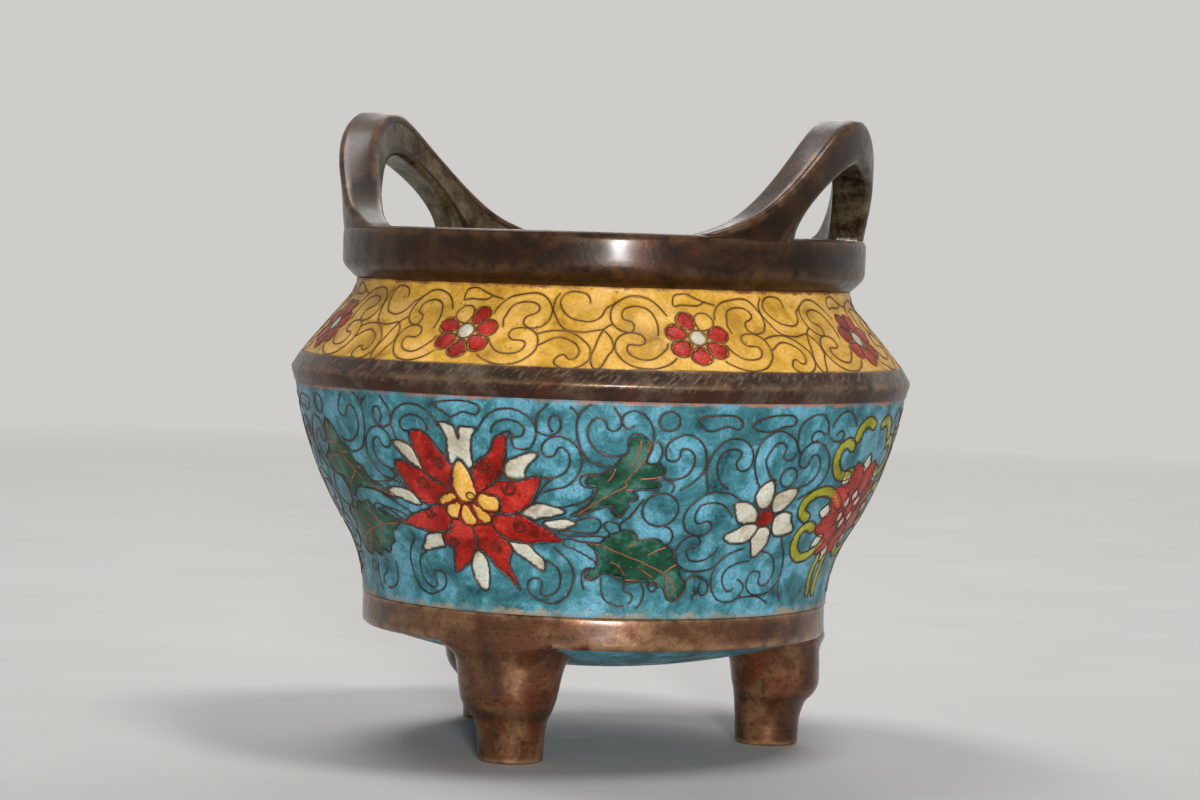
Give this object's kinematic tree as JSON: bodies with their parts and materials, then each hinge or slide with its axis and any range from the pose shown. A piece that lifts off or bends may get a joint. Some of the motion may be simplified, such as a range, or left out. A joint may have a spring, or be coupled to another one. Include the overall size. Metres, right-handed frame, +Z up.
{
  "type": "tripod censer",
  "caption": "Squat cloisonne enamel incense burner: copper bowl with narrowed neck, bronze rim collar with arched ears, waist and base rings, standing on short bronze feet.",
  "frame": {"origin": "centre of the bowl's axis on the floor that the feet stand on", "axes": "+Z up along the bowl's axis, +X through the right ear, -Y towards the front foot and the front lotus flower"},
  "size_m": [0.12, 0.12, 0.121],
  "materials": {
    "bronze": "worn brown patina, satin",
    "copper": "dull beaten copper",
    "cloison_wire": "darkened copper wire",
    "yellow_enamel": "mottled gloss",
    "turquoise_enamel": "pitted gloss",
    "red_enamel": "gloss",
    "white_enamel": "gloss",
    "green_enamel": "gloss",
    "lime_enamel": "gloss"
  },
  "bodies": {
    "root": {"rim_collar": "bronze", "ear_left": "bronze", "ear_right": "bronze", "waist_ring": "bronze", "base_ring": "bronze", "foot_front": "bronze", "foot_right": "bronze", "foot_left": "bronze", "neck_wall": "copper", "belly_wall": "copper", "neck_ground": "yellow_enamel", "neck_flower_petals": "red_enamel", "neck_flower_eyes": "white_enamel", "neck_wires": "cloison_wire", "belly_ground": "turquoise_enamel", "lotus_red_petals": "red_enamel", "lotus_white_petals": "white_enamel", "lotus_hearts": "yellow_enamel", "leaves": "green_enamel", "floret_petals": "white_enamel", "floret_eyes": "red_enamel", "side_flower_red_petals": "red_enamel", "side_flower_white_petals": "white_enamel", "hook_scrolls": "lime_enamel", "belly_wires": "cloison_wire", "bottom_enamel": "turquoise_enamel"}
  },
  "joints": []
}
